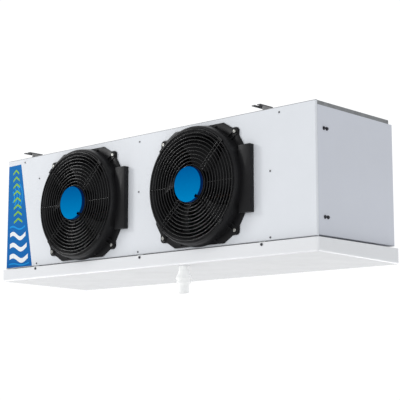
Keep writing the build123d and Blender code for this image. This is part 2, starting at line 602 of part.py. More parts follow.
def impeller():
    hub = revolved(outline([(46.0, -14.0), (56.0, -14.0), (57.5, -12.0), (57.5, 28.0), (55.0, 31.0), (46.0, 31.0)]))
    secs = []
    for r, chord, pitch, sweep_deg in ((50.0, 78.0, 38.0, 0.0), (95.0, 98.0, 31.0, 6.0), (140.0, 116.0, 25.0, 16.0), (184.0, 130.0, 20.0, 28.0)):
        a = radians(sweep_deg)
        o = Vector(r * cos(a), r * sin(a), -4.0)
        zd = Vector(cos(a), sin(a), 0)
        td = Vector(-sin(a), cos(a), 0)
        b = radians(pitch)
        xd = td * cos(b) + Vector(0, 0, 1) * sin(b)
        secs.append(Plane(origin=o, x_dir=xd, z_dir=zd) * Rectangle(chord, 3.0))
    blade = loft(secs)
    blade = blade & ring_z(52.0, TIP_R, -60, 60)
    out = hub
    for k in range(BLADES):
        out = out + Rot(0, 0, k * 360 / BLADES) * blade
    return out


housing = fan_housing()
guard = fan_guard()
imp = impeller()
ear_screws = []
for sx in (-1, 1):
    for sy in (-1, 1):
        s = Pos(0, 0, 8.0 + 2.2) * Cylinder(6.2, 4.4)
        s = fillet(s.edges().group_by(Axis.Z)[-1], 1.6)
        s = s - Pos(0, 0, 12.0) * Box(7.5, 1.2, 2.4) - Pos(0, 0, 12.0) * Box(1.2, 7.5, 2.4)
        s = s + Pos(0, 0, -2.0) * Cylinder(3.0, 21.0)
        ear_screws.append(Pos(sx * EAR, sy * EAR, 0) * s)
motor_screws = []
for k in range(4):
    m = Pos(0, 0, GUARD_W + 0.5 + 1.2) * Cylinder(4.0, 2.4) + Pos(0, 0, GUARD_W - 8.0) * Cylinder(2.0, 17.5)
    motor_screws.append(Rot(0, 0, 45 + 90 * k) * (Pos(38.0, 0, 0) * m))
guard_clips = []
for a in (45, 135, 225, 315):
    # a saddle on the rolled front edge, over the two spoke ends
    c = box(RIM_R - 14.8, RIM_R - 8.8, -11.0, 11.0, RIM_W + 0.1, GUARD_W + 1.2)
    for off in (-6.5, 6.5):
        c = c - box(RIM_R - 30, RIM_R - 8.0, off - WIRE_R, off + WIRE_R, RIM_W - 1.0, RIM_W + 2 * WIRE_R + 0.1)
    guard_clips.append(Rot(0, 0, a) * c)

for i, xf in enumerate(FAN_X, start=1):
    n = f"fan_{i}_"
    save(n + "housing", fan_place(housing, xf))
    save(n + "guard", fan_place(guard, xf))
    save(n + "hub_cap", fan_place(cap, xf))
    save(n + "motor_base", fan_place(motor_base, xf))
    save(n + "stator", fan_place(stator, xf))
    save(n + "windings", [fan_place(w, xf) for w in windings])
    save(n + "bearings", [fan_place(b, xf) for b in bearings])
    save(n + "rotor", fan_place(rotor, xf))
    save(n + "impeller", fan_place(imp, xf))
    save(n + "ear_screws", [fan_place(s, xf) for s in ear_screws])
    save(n + "motor_screws", [fan_place(s, xf) for s in motor_screws])
    save(n + "guard_clips", [fan_place(s, xf) for s in guard_clips])
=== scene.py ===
import json
import math
import bpy
import bmesh
from mathutils import Matrix, Vector


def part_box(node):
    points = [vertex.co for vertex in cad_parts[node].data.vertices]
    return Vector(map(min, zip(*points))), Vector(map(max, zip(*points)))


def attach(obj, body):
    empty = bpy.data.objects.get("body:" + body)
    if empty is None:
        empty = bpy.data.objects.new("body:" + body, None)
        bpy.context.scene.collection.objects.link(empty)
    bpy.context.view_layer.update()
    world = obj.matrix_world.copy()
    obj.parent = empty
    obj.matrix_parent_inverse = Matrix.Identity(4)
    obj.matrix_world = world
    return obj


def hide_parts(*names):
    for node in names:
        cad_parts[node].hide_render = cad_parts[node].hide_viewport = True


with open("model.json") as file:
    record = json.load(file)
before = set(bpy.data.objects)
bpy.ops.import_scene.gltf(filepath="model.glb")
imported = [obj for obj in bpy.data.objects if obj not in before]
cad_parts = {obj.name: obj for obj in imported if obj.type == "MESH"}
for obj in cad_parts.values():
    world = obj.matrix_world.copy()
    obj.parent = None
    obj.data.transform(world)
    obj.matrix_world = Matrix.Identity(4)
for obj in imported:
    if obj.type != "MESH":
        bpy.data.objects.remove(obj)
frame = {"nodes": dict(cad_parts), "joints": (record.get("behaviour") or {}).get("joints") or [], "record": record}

scene = bpy.context.scene
NODES = frame["nodes"]


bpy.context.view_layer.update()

# ---------------------------------------------------------------------------
# places, all from the frame. The casing datum is its front lower left corner.
# ---------------------------------------------------------------------------
PANEL_LO, PANEL_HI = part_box("front_panel")
X0, Y0, Z0 = PANEL_LO.x, PANEL_LO.y, PANEL_LO.z
FANS = {}
for j in frame["joints"]:
    if j["name"] in ("fan_1_spin", "fan_2_spin"):
        FANS[j["name"][:5]] = Vector(j["pos_m"])


def P(x, y, z):
    """Casing datum in millimetres to the frame in metres."""
    return Vector((X0 + x / 1000.0, Y0 + y / 1000.0, Z0 + z / 1000.0))


# ---------------------------------------------------------------------------
# camera
# ---------------------------------------------------------------------------
right = Vector((0.73155942, 0.68177689, 0.00104678))
fwd = Vector((-0.67341391, 0.72234432, 0.15726534))
up = right.cross(fwd)
cam_data = bpy.data.cameras.new("photo_camera")
cam = bpy.data.objects.new("photo_camera", cam_data)
scene.collection.objects.link(cam)
cam_data.sensor_fit = "HORIZONTAL"
cam_data.sensor_width = 36.0
cam_data.lens = 1193.76 / 400.0 * 36.0
cam_data.clip_start = 0.05
cam_data.clip_end = 200.0
m = Matrix((right, up, -fwd)).transposed().to_4x4()
m.translation = P(3924.73, -3039.27, -490.84)
cam.matrix_world = m
scene.camera = cam

# ---------------------------------------------------------------------------
# material helpers
# ---------------------------------------------------------------------------


class Mat:
    def __init__(self, name):
        self.m = bpy.data.materials.new(name)
        self.m.use_nodes = True
        self.nt = self.m.node_tree
        self.b = self.nt.nodes["Principled BSDF"]
        tc = self.nt.nodes.new("ShaderNodeTexCoord")
        self.co = tc.outputs["Object"]
        self.last_normal = None

    def set(self, **kw):
        for k, v in kw.items():
            sock = self.b.inputs[k.replace("_", " ")]
            sock.default_value = v
        return self

    def link(self, a, b):
        self.nt.links.new(a, b)

    def scaled(self, sx, sy, sz):
        mp = self.nt.nodes.new("ShaderNodeMapping")
        mp.inputs["Scale"].default_value = (sx, sy, sz)
        self.link(self.co, mp.inputs["Vector"])
        return mp.outputs["Vector"]

    def noise(self, scale, detail=3.0, rough=0.5, vec=None, distortion=0.0):
        n = self.nt.nodes.new("ShaderNodeTexNoise")
        n.inputs["Scale"].default_value = scale
        n.inputs["Detail"].default_value = detail
        n.inputs["Roughness"].default_value = rough
        n.inputs["Distortion"].default_value = distortion
        self.link(vec or self.co, n.inputs["Vector"])
        return n.outputs["Fac"]

    def voronoi(self, scale, feature="F1", out="Distance", vec=None):
        n = self.nt.nodes.new("ShaderNodeTexVoronoi")
        n.feature = feature
        n.inputs["Scale"].default_value = scale
        self.link(vec or self.co, n.inputs["Vector"])
        return n.outputs[out]

    def remap(self, val, a, b, c=0.0, d=1.0):
        n = self.nt.nodes.new("ShaderNodeMapRange")
        n.clamp = True
        n.inputs["From Min"].default_value = a
        n.inputs["From Max"].default_value = b
        n.inputs["To Min"].default_value = c
        n.inputs["To Max"].default_value = d
        self.link(val, n.inputs["Value"])
        return n.outputs["Result"]

    def mix(self, fac, a, b):
        n = self.nt.nodes.new("ShaderNodeMix")
        n.data_type = "RGBA"
        self.link(fac, n.inputs[0])
        for v, i in ((a, 6), (b, 7)):
            if isinstance(v, (tuple, list)):
                n.inputs[i].default_value = (v[0], v[1], v[2], 1.0)
            else:
                self.link(v, n.inputs[i])
        return n.outputs[2]

    def math(self, op, a, b):
        n = self.nt.nodes.new("ShaderNodeMath")
        n.operation = op
        for i, v in enumerate((a, b)):
            if isinstance(v, (int, float)):
                n.inputs[i].default_value = v
            else:
                self.link(v, n.inputs[i])
        return n.outputs[0]

    def colour(self, sock):
        self.link(sock, self.b.inputs["Base Color"])
        return self

    def rough(self, sock):
        self.link(sock, self.b.inputs["Roughness"])
        return self

    def bump(self, height, strength, distance):
        n = self.nt.nodes.new("ShaderNodeBump")
        n.inputs["Strength"].default_value = strength
        n.inputs["Distance"].default_value = distance
        self.link(height, n.inputs["Height"])
        if self.last_normal is not None:
            self.link(self.last_normal, n.inputs["Normal"])
        self.last_normal = n.outputs["Normal"]
        self.link(self.last_normal, self.b.inputs["Normal"])
        return self


def shade(c, k):
    return tuple(min(1.0, max(0.0, v * k)) for v in c)


def paint(name, base, r0, r1, peel=0.25, wave=0.0, dirt=0.02, coat=0.0, fold_shade=None):
    """Painted sheet: faint tone changes, orange peel and a slow unevenness, with an optional band of painted shade over
    a height range.
    """
    a = Mat(name)
    slow = a.remap(a.noise(2.3, 4.0, 0.55), 0.35, 0.65)
    c = a.mix(slow, shade(base, 1.0 - dirt), shade(base, 1.0 + dirt * 0.4))
    specks = a.remap(a.noise(60.0, 2.0, 0.5), 0.60, 0.80)
    c = a.mix(a.math("MULTIPLY", specks, 0.10), c, shade(base, 0.93))
    # painted shade: a darker band over a height range, for the shade along the panel's top fold
    if fold_shade:
        sep = a.nt.nodes.new("ShaderNodeSeparateXYZ")
        a.link(a.co, sep.inputs[0])
        c = a.mix(a.remap(sep.outputs["Z"], fold_shade[0], fold_shade[1]), c, shade(base, fold_shade[2]))
    a.colour(c)
    a.rough(a.remap(a.noise(7.0, 4.0, 0.6), 0.3, 0.7, r0, r1))
    a.bump(a.noise(420.0, 2.0, 0.5), peel, 0.00006)
    if wave:
        a.bump(a.noise(1.6, 2.0, 0.4), wave, 0.004)
    if coat:
        a.set(Coat_Weight=coat, Coat_Roughness=0.05)
    return a.m


def galvanised(name, base=(0.52, 0.53, 0.54), rough=(0.34, 0.52), scale=55.0, metal=0.85, web=None):
    a = Mat(name)
    cells = a.voronoi(scale, out="Color")
    sep = a.nt.nodes.new("ShaderNodeSeparateColor")
    a.link(cells, sep.inputs["Color"])
    f = sep.outputs[0]
    c = a.mix(f, shade(base, 0.86), shade(base, 1.12))
    dull = a.remap(a.noise(9.0, 4.0, 0.6), 0.4, 0.7)
    c = a.mix(a.math("MULTIPLY", dull, 0.35), c, shade(base, 0.72))
    # painted light over painted shade: below the given height the colour turns lighter (the lit bracket web), above it
    # stays the dark base (the shaded foot)
    if web:
        pos = a.nt.nodes.new("ShaderNodeSeparateXYZ")
        a.link(a.co, pos.inputs[0])
        c = a.mix(a.remap(pos.outputs["Z"], web[0], web[1]), web[2], c)
    a.colour(c)
    a.rough(a.remap(f, 0.0, 1.0, rough[0], rough[1]))
    a.bump(a.noise(260.0, 2.0, 0.5), 0.12, 0.00008)
    a.set(Metallic=metal)
    return a.m


def moulded(name, base, r0, r1, grain=0.35, grain_scale=900.0, spec=0.5, vary=0.25, coat=0.0):
    """Moulded plastic: fine grain, slight gloss changes, rubbed high spots."""
    a = Mat(name)
    slow = a.remap(a.noise(14.0, 4.0, 0.6), 0.3, 0.7)
    c = a.mix(slow, shade(base, 1.0 - vary * 0.5), shade(base, 1.0 + vary))
    a.colour(c)
    a.rough(a.remap(a.noise(23.0, 5.0, 0.6), 0.3, 0.7, r0, r1))
    a.bump(a.noise(grain_scale, 2.0, 0.5), grain, 0.00005)
    a.set(Specular_IOR_Level=spec)
    if coat:
        a.set(Coat_Weight=coat, Coat_Roughness=0.08)
    return a.m


def metal(name, base, r0, r1, brush=None, grain=0.1):
    a = Mat(name)
    vec = a.scaled(*brush) if brush else None
    f = a.noise(180.0, 4.0, 0.6, vec=vec)
    c = a.mix(a.remap(f, 0.3, 0.7), shade(base, 0.88), shade(base, 1.08))
    a.colour(c)
    a.rough(a.remap(f, 0.25, 0.75, r0, r1))
    a.bump(f, grain, 0.00005)
    a.set(Metallic=1.0)
    return a.m


M = {}
M["white_paint"] = paint("white_paint", (0.80, 0.825, 0.865), 0.40, 0.50, peel=0.30, wave=0.06, dirt=0.03)
# front panel: painted shade along its top fold, a band at 0.40 of the paint tone
M["front_paint"] = paint("front_paint", (0.80, 0.825, 0.865), 0.40, 0.50, peel=0.30, wave=0.06, dirt=0.03, fold_shade=(P(0, 0, 446.8).z, P(0, 0, 447.8).z, 0.40))
# side covers: painted shade, a darker and bluer copy of the white paint for faces that get less light and the blue cast
# of the surroundings
M["shaded_side_paint"] = paint("shaded_side_paint", (0.68, 0.705, 0.77), 0.40, 0.50, peel=0.30, wave=0.06, dirt=0.03)
M["white_tray"] = paint("white_tray", (0.85, 0.86, 0.88), 0.18, 0.26, peel=0.12, wave=0.05, dirt=0.015, coat=0.5)
M["galvanised"] = galvanised("galvanised", base=(0.33, 0.34, 0.35))
# brackets: painted shade and light, a dark base for the shaded foot and a lighter colour below the foot for the lit web
M["galvanised_painted_shade"] = galvanised("galvanised_painted_shade", base=(0.12, 0.12, 0.125), rough=(0.5, 0.65), scale=90.0, web=(P(0, 0, 465.6).z, P(0, 0, 466.6).z, (0.40, 0.40, 0.40)))
M["black_plastic"] = moulded("black_plastic", (0.0105, 0.0105, 0.0115), 0.30, 0.42, grain=0.30, spec=0.16)
M["black_blade"] = moulded("black_blade", (0.006, 0.006, 0.0068), 0.30, 0.40, grain=0.22, spec=0.12)
M["black_wire"] = moulded("black_wire", (0.006, 0.006, 0.0065), 0.13, 0.20, grain=0.08, grain_scale=1400.0, spec=0.40)
M["white_plastic"] = moulded("white_plastic", (0.985, 0.99, 0.985), 0.30, 0.40, grain=0.05, vary=0.005)
M["dark_screw"] = metal("dark_screw", (0.075, 0.075, 0.085), 0.30, 0.45)
M["panel_screw"] = metal("panel_screw", (0.17, 0.17, 0.18), 0.30, 0.45)
M["bright_screw"] = metal("bright_screw", (0.48, 0.48, 0.455), 0.26, 0.40)
M["aluminium_fin"] = metal("aluminium_fin", (0.72, 0.73, 0.74), 0.28, 0.42, brush=(1, 6, 1))
M["cast_alloy"] = metal("cast_alloy", (0.08, 0.08, 0.085), 0.45, 0.6, grain=0.4)
M["copper"] = metal("copper", (0.72, 0.36, 0.22), 0.22, 0.40, brush=(1, 3, 1))
M["valve_brass"] = metal("valve_brass", (0.72, 0.55, 0.24), 0.25, 0.4)
M["stainless"] = metal("stainless", (0.55, 0.55, 0.54), 0.22, 0.36, brush=(1, 1, 1))
M["winding"] = metal("winding", (0.50, 0.20, 0.07), 0.3, 0.45)
M["rubber"] = moulded("rubber", (0.02, 0.02, 0.02), 0.6, 0.75, grain=0.5, spec=0.3)
M["grey_plastic"] = moulded("grey_plastic", (0.42, 0.43, 0.44), 0.38, 0.5, vary=0.05)


def graded(name, low, high, z0, z1, r0, r1, spec=0.2, grain=0.08, streak=0.04):
    """Colour that runs from low to high up the part, with faint print or moulding unevenness. On the labels the run is
    print; on the hub caps it is painted light, lighter towards the bottom.
    """
    a = Mat(name)
    sep = a.nt.nodes.new("ShaderNodeSeparateXYZ")
    a.link(a.co, sep.inputs[0])
    t = a.remap(sep.outputs["Z"], z0, z1)
    c = a.mix(t, low, high)
    n = a.remap(a.noise(30.0, 4.0, 0.6), 0.3, 0.7)
    c2 = a.mix(n, (1.0 - streak, 1.0 - streak, 1.0 - streak), (1.0, 1.0, 1.0))
    mul = a.nt.nodes.new("ShaderNodeMix")
    mul.data_type = "RGBA"
    mul.blend_type = "MULTIPLY"
    mul.inputs[0].default_value = 1.0
    a.link(c, mul.inputs[6])
    a.link(c2, mul.inputs[7])
    a.colour(mul.outputs[2])
    a.rough(a.remap(a.noise(18.0, 3.0, 0.5), 0.3, 0.7, r0, r1))
    a.bump(a.noise(700.0, 2.0, 0.5), grain, 0.00004)
    a.set(Specular_IOR_Level=spec)
    return a.m


FZ = FANS["fan_1"].z
# hub caps: painted light, the blue lighter towards the bottom and darker towards the top, as if lit from below
M["blue_plastic"] = graded("blue_plastic", (0.0, 0.235, 0.56), (0.0, 0.115, 0.36), FZ - 0.06, FZ + 0.06, 0.42, 0.52, spec=0.0)
# hub cap side wall: painted shade, a darker copy of the cap's blue
M["blue_cap_side_shade"] = graded("blue_cap_side_shade", (0.003, 0.045, 0.20), (0.002, 0.02, 0.13), FZ - 0.06, FZ + 0.06, 0.42, 0.52, spec=0.0)
M["label"] = graded("label", (0.006, 0.135, 0.44), (0.008, 0.17, 0.50), Z0, Z0 + 0.43, 0.40, 0.50, spec=0.05)
M["label_light"] = graded("label_light", (0.012, 0.30, 0.74), (0.012, 0.34, 0.80), Z0, Z0 + 0.43, 0.40, 0.50, spec=0.05)
M["label_green"] = graded("label_green", (0.22, 0.50, 0.04), (0.28, 0.56, 0.05), Z0, Z0 + 0.43, 0.40, 0.50, spec=0.05)
M["label_white"] = graded("label_white", (0.88, 0.90, 0.92), (0.88, 0.90, 0.92), Z0, Z0 + 0.43, 0.26, 0.34, spec=0.3, streak=0.02)

SLOT_OF = {s["node"]: s["material_slot"] for s in frame["record"]["subparts"]}


def give(obj, mat):
    obj.data.materials.clear()
    obj.data.materials.append(mat)


OWN = {"suspension_brackets": "galvanised_painted_shade", "front_panel": "front_paint", "front_panel_screws": "panel_screw"}
for name, obj in NODES.items():
    if name in OWN:
        give(obj, M[OWN[name]])
        continue
    # side covers get the painted-shade copy of the white paint
    give(obj, M["shaded_side_paint" if name.startswith("side_cover_") and SLOT_OF[name] == "white_paint" else SLOT_OF[name]])

# ---------------------------------------------------------------------------
# mesh helpers (millimetres, then placed)
# ---------------------------------------------------------------------------


def make(name, verts, faces, mat, smooth=True):
    me = bpy.data.meshes.new(name)
    me.from_pydata([tuple(v) for v in verts], [], faces)
    me.validate()
    bm = bmesh.new()
    bm.from_mesh(me)
    bmesh.ops.recalc_face_normals(bm, faces=bm.faces)
    bm.to_mesh(me)
    bm.free()
    ob = bpy.data.objects.new(name, me)
    scene.collection.objects.link(ob)
    me.materials.append(mat)
    if smooth:
        me.polygons.foreach_set("use_smooth", [True] * len(me.polygons))
    return ob


def apply_mods(ob):
    dg = bpy.context.evaluated_depsgraph_get()
    me = bpy.data.meshes.new_from_object(ob.evaluated_get(dg))
    old = ob.data
    ob.modifiers.clear()
    ob.data = me
    me.name = ob.name
    bpy.data.meshes.remove(old)
    return ob


def sharp(ob, angle=35.0):
    """Smooth shading that stays sharp over folds wider than the angle."""
    me = ob.data
    me.polygons.foreach_set("use_smooth", [True] * len(me.polygons))
    bm = bmesh.new()
    bm.from_mesh(me)
    lim = math.radians(angle)
    for e in bm.edges:
        e.smooth = len(e.link_faces) == 2 and e.calc_face_angle(0.0) < lim
    bm.to_mesh(me)
    bm.free()
    return ob


def bevel(ob, width, segs=3, angle=30.0):
    md = ob.modifiers.new("bevel", "BEVEL")
    md.width = width
    md.segments = segs
    md.limit_method = "ANGLE"
    md.angle_limit = math.radians(angle)
    md.harden_normals = False
    return apply_mods(ob)


def cut(ob, tools, op="DIFFERENCE"):
    for t in tools:
        md = ob.modifiers.new("b", "BOOLEAN")
        md.operation = op
        md.object = t
        md.solver = "EXACT"
        apply_mods(ob)
        me = t.data
        bpy.data.objects.remove(t)
        bpy.data.meshes.remove(me)
    return ob


def join(name, obs):
    bm = bmesh.new()
    mats = []
    for o in obs:
        tmp = bmesh.new()
        tmp.from_mesh(o.data)
        if o.data.materials[0] not in mats:
            mats.append(o.data.materials[0])
        idx = mats.index(o.data.materials[0])
        for f in tmp.faces:
            f.material_index = idx
        me = bpy.data.meshes.new("t")
        tmp.to_mesh(me)
        tmp.free()
        bm.from_mesh(me)
        bpy.data.meshes.remove(me)
    me = bpy.data.meshes.new(name)
    bm.to_mesh(me)
    bm.free()
    for mt in mats:
        me.materials.append(mt)
    ob = bpy.data.objects.new(name, me)
    scene.collection.objects.link(ob)
    for o in obs:
        d = o.data
        bpy.data.objects.remove(o)
        bpy.data.meshes.remove(d)
    return ob


def lathe(name, prof, mat, segs=128, closed=True):
    """Turn an outline of (r, w) about Z. closed: the outline is a loop."""
    verts, faces = [], []
    n = len(prof)
    for i in range(segs):
        a = 2 * math.pi * i / segs
        for r, w in prof:
            verts.append((r * math.cos(a), r * math.sin(a), w))
    for i in range(segs):
        i2 = (i + 1) % segs
        for k in range(n if closed else n - 1):
            k2 = (k + 1) % n
            faces.append((i * n + k, i2 * n + k, i2 * n + k2, i * n + k2))
    ob = make(name, verts, faces, mat)
    if not closed or min(p[0] for p in prof) < 1e-6:
        bm = bmesh.new()
        bm.from_mesh(ob.data)
        bmesh.ops.remove_doubles(bm, verts=bm.verts, dist=1e-5)
        bmesh.ops.recalc_face_normals(bm, faces=bm.faces)
        bm.to_mesh(ob.data)
        bm.free()
    return ob


def arc(cx, cy, r, a0, a1, n):
    return [(cx + r * math.cos(math.radians(a0 + (a1 - a0) * i / n)), cy + r * math.sin(math.radians(a0 + (a1 - a0) * i / n))) for i in range(n + 1)]


def prism(name, pts, z0, z1, mat):
    n = len(pts)
    verts = [(x, y, z0) for x, y in pts] + [(x, y, z1) for x, y in pts]
    faces = [tuple(range(n - 1, -1, -1)), tuple(range(n, 2 * n))]
    for i in range(n):
        j = (i + 1) % n
        faces.append((i, j, n + j, n + i))
    return make(name, verts, faces, mat, smooth=False)


def block(name, x0, x1, y0, y1, z0, z1, mat, bev=0.0, segs=3):
    ob = prism(name, [(x0, y0), (x1, y0), (x1, y1), (x0, y1)], z0, z1, mat)
    if bev:
        bevel(ob, bev, segs)
        sharp(ob, 40)
    return ob


def disc(name, x, y, r, z0, z1, mat, segs=48):
    return prism(name, [(x + r * math.cos(2 * math.pi * i / segs), y + r * math.sin(2 * math.pi * i / segs)) for i in range(segs)], z0, z1, mat)


def tube_along(path, r, sides=10, closed=False):
    """Vertices and faces of a round wire along a list of points."""
    pts = [Vector(p) for p in path]
    n = len(pts)
    verts, faces = [], []
    prev = None
    for i, p in enumerate(pts):
        if closed:
            t = (pts[(i + 1) % n] - pts[i - 1]).normalized()
        else:
            t = (pts[min(i + 1, n - 1)] - pts[max(i - 1, 0)]).normalized()
        ref = prev if prev is not None else (Vector((0, 0, 1)) if abs(t.z) < 0.9 else Vector((1, 0, 0)))
        u = (ref - t * ref.dot(t)).normalized()
        v = t.cross(u)
        prev = u
        for k in range(sides):
            a = 2 * math.pi * k / sides
            verts.append(p + (u * math.cos(a) + v * math.sin(a)) * r)
    for i in range(n if closed else n - 1):
        i2 = (i + 1) % n
        for k in range(sides):
            k2 = (k + 1) % sides
            faces.append((i * sides + k, i * sides + k2, i2 * sides + k2, i2 * sides + k))
    if not closed:
        faces.append(tuple(range(sides - 1, -1, -1)))
        faces.append(tuple((n - 1) * sides + k for k in range(sides)))
    return verts, faces


class Soup:
    def __init__(self):
        self.v, self.f = [], []

    def add(self, vf):
        o = len(self.v)
        self.v += [tuple(p) for p in vf[0]]
        self.f += [tuple(i + o for i in f) for f in vf[1]]


def rot(p, deg):
    a = math.radians(deg)
    return (p[0] * math.cos(a) - p[1] * math.sin(a), p[0] * math.sin(a) + p[1] * math.cos(a), p[2])


def place_fan(ob, fan):
    """Fan pieces are drawn facing +Z in millimetres; turn them to the front and place them."""
    c = FANS[fan]
    mt = Matrix.Translation(c) @ Matrix.Rotation(math.radians(90), 4, "X") @ Matrix.Scale(0.001, 4)
    ob.data.transform(mt)
    return ob


def place_case(ob):
    """Casing pieces are drawn in casing millimetres."""
    mt = Matrix.Translation(P(0, 0, 0)) @ Matrix.Scale(0.001, 4)
    ob.data.transform(mt)
    return ob


# ---------------------------------------------------------------------------
# fans
# ---------------------------------------------------------------------------
EAR, HALF, FLAT = 172.0, 212.0, 117.0
RIM_R, RIM_W, THROAT = 214.0, 46.0, 178.5


def build_housing(fan):
    mt = M["black_plastic"]
    ro, w1 = RIM_R, RIM_W
    prof = [(THROAT, -42.0), (THROAT, 2.0)]
    # flare of the bell mouth: quarter of an ellipse from the throat to the rolled edge
    for i in range(1, 15):
        a = math.radians(90.0 * i / 15)
        prof.append((THROAT + (ro - 17.0 - THROAT) * (1 - math.cos(a)), 2.0 + (w1 - 6.0) * math.sin(a)))
    prof += [(ro - 16.0, w1 - 2.2), (ro - 14.0, w1 - 0.7), (ro - 11.5, w1), (ro - 9.0, w1 - 0.5), (ro - 6.2, w1 - 2.4), (ro - 4.0, w1 - 6.0),
             (ro - 2.6, w1 - 11.0), (ro - 1.6, w1 - 17.0), (ro - 0.2, 18.0), (ro + 0.8, 9.0), (ro + 1.9, 5.0), (ro + 2.0, 1.0), (ro - 1.0, 0.4),
             (ro - 3.6, 16.0), (ro - 5.6, w1 - 15.0), (ro - 9.0, w1 - 7.0), (ro - 12.5, w1 - 4.5), (ro - 16.0, w1 - 7.0)]
    for i in range(13, 0, -1):
        a = math.radians(90.0 * i / 15)
        prof.append((THROAT + 3.0 + (ro - 19.0 - THROAT) * (1 - math.cos(a)), (w1 - 9.0) * math.sin(a)))
    prof += [(THROAT + 3.0, 0.0), (THROAT + 3.0, -42.0)]
    bell = lathe("bell", prof, mt, segs=144)
    sharp(bell, 50)

    # plate outline, with an ear at each corner
    s = EAR + 16.0
    q = [(FLAT, HALF), (157.5, 187.5), (160.0, 187.8)]
    q += arc(EAR + 2.5, EAR + 2.5, 13.3, 95, -5, 8)
    q += [(187.8, 160.0), (187.5, 157.5), (HALF, FLAT)]
    pts = []
    pts += q
    pts += [(x, -y) for x, y in reversed(q)]
    pts += [(-x, -y) for x, y in q]
    pts += [(-x, y) for x, y in reversed(q)]
    pts.reverse()
    plate = prism("plate", pts, 0.1, 5.0, mt)
    hole = disc("hole", 0, 0, RIM_R - 0.4, -10, 20, mt, 144)
    cut(plate, [hole])
    bevel(plate, 1.1, 2, 40)
    sharp(plate, 35)
    parts = [bell, plate]
    # ears: raised bosses with a rim, a web to the ring and a screw recess
    for sx in (-1, 1):
        for sy in (-1, 1):
            ang = math.degrees(math.atan2(sy, sx))
            p0 = [(12.9, 4.5), (12.9, 7.2), (12.2, 8.0), (8.6, 8.0), (8.0, 7.6), (8.0, 6.4), (7.6, 6.0), (3.6, 6.0), (3.6, 0.2), (9.0, 0.2)]
            boss = lathe("boss", p0, mt, segs=40)
            sharp(boss, 40)
            boss.data.transform(Matrix.Translation((sx * EAR, sy * EAR, 0)))
            parts.append(boss)
            # two webs from the ring to the ear
            for off in (-9.0, 9.0):
                r0 = math.sqrt((RIM_R - 1.0) ** 2 - off ** 2)
                web = prism("web", [(r0, 4.8), (234.0, 4.8), (231.5, 7.4), (r0 + 3, 16.0), (r0 - 1, 20.0)], -0.9 + off, 0.9 + off, mt)
                web.data.transform(Matrix.Rotation(math.radians(ang), 4, "Z") @ Matrix.Rotation(math.radians(90), 4, "X"))
                sharp(web, 30)
                parts.append(web)
    # short ribs round the ring, where the plate meets the wall
    for k in range(24):
        ang = 7.5 + 15.0 * k
        if abs((ang + 45) % 90 - 90) < 14 or abs((ang + 45) % 90) < 14:
            continue
        x, y = (RIM_R + 3) * math.cos(math.radians(ang)), (RIM_R + 3) * math.sin(math.radians(ang))
        if abs(x) > 208 or abs(y) > 208:
            continue
        rib = prism("rib", [(RIM_R - 1.4, 4.8), (RIM_R + 9.0, 4.8), (RIM_R + 8.0, 6.0), (RIM_R + 1.2, 14.0), (RIM_R - 1.4, 15.0)], -0.8, 0.8, mt)
        rib.data.transform(Matrix.Rotation(math.radians(ang), 4, "Z") @ Matrix.Rotation(math.radians(90), 4, "X"))
        parts.append(rib)
    # moulded box at the side
    zs = [118.0 - (118.0 + 117.0) * i / 48 for i in range(49)]
    inner = [(max(200.0, math.sqrt((RIM_R - 2.2) ** 2 - z * z)), z) for z in zs]
    bx = prism("sidebox", [(251.5, -117.0), (251.5, 118.0)] + inner, 0.3, 22.0, mt)
    bevel(bx, 1.4, 3, 40)
    sharp(bx, 35)
    parts.append(bx)
    # two low ribs on the box's side
    for z in (-78.0, 79.0):
        parts.append(block("snap", 248.0, 251.9, z - 7, z + 7, 7.0, 15.0, mt, 0.5, 2))
    return place_fan(join(fan + "_housing_shell", parts), fan)


def build_guard(fan):
    s = Soup()
    n = 11
    for i in range(n):
        r = 70.0 + i * 12.7
        wr = 1.7
        pth = [(r * math.cos(2 * math.pi * k / 168), r * math.sin(2 * math.pi * k / 168), 50.0) for k in range(168)]
        s.add(tube_along(pth, wr, 10, closed=True))
    for a in (45, 135, 225, 315):
        for off in (-6.5, 6.5):
            pth = [rot((52.0 + t, off, 47.75), a) for t in (0, 40, 90, 130, 147)] + [rot((204.6, off, 47.7), a)]
            s.add(tube_along(pth, 1.65, 10))
    for a in (0, 180):
        s.add(tube_along([rot((52.0 + t, 0, 47.75), a) for t in (0, 50, 100, 146.3)], 1.65, 10))
    rings = make("rings", s.v, s.f, M["black_wire"])
    sharp(rings, 50)
    plate = lathe("centre", [(16.0, 46.5), (16.0, 50.0), (16.5, 50.5), (62.5, 50.5), (63.8, 49.6), (63.8, 47.0), (63.0, 46.4)], M["black_wire"], segs=96)
    sharp(plate, 40)
    return place_fan(join(fan + "_guard_wires", [rings, plate]), fan)


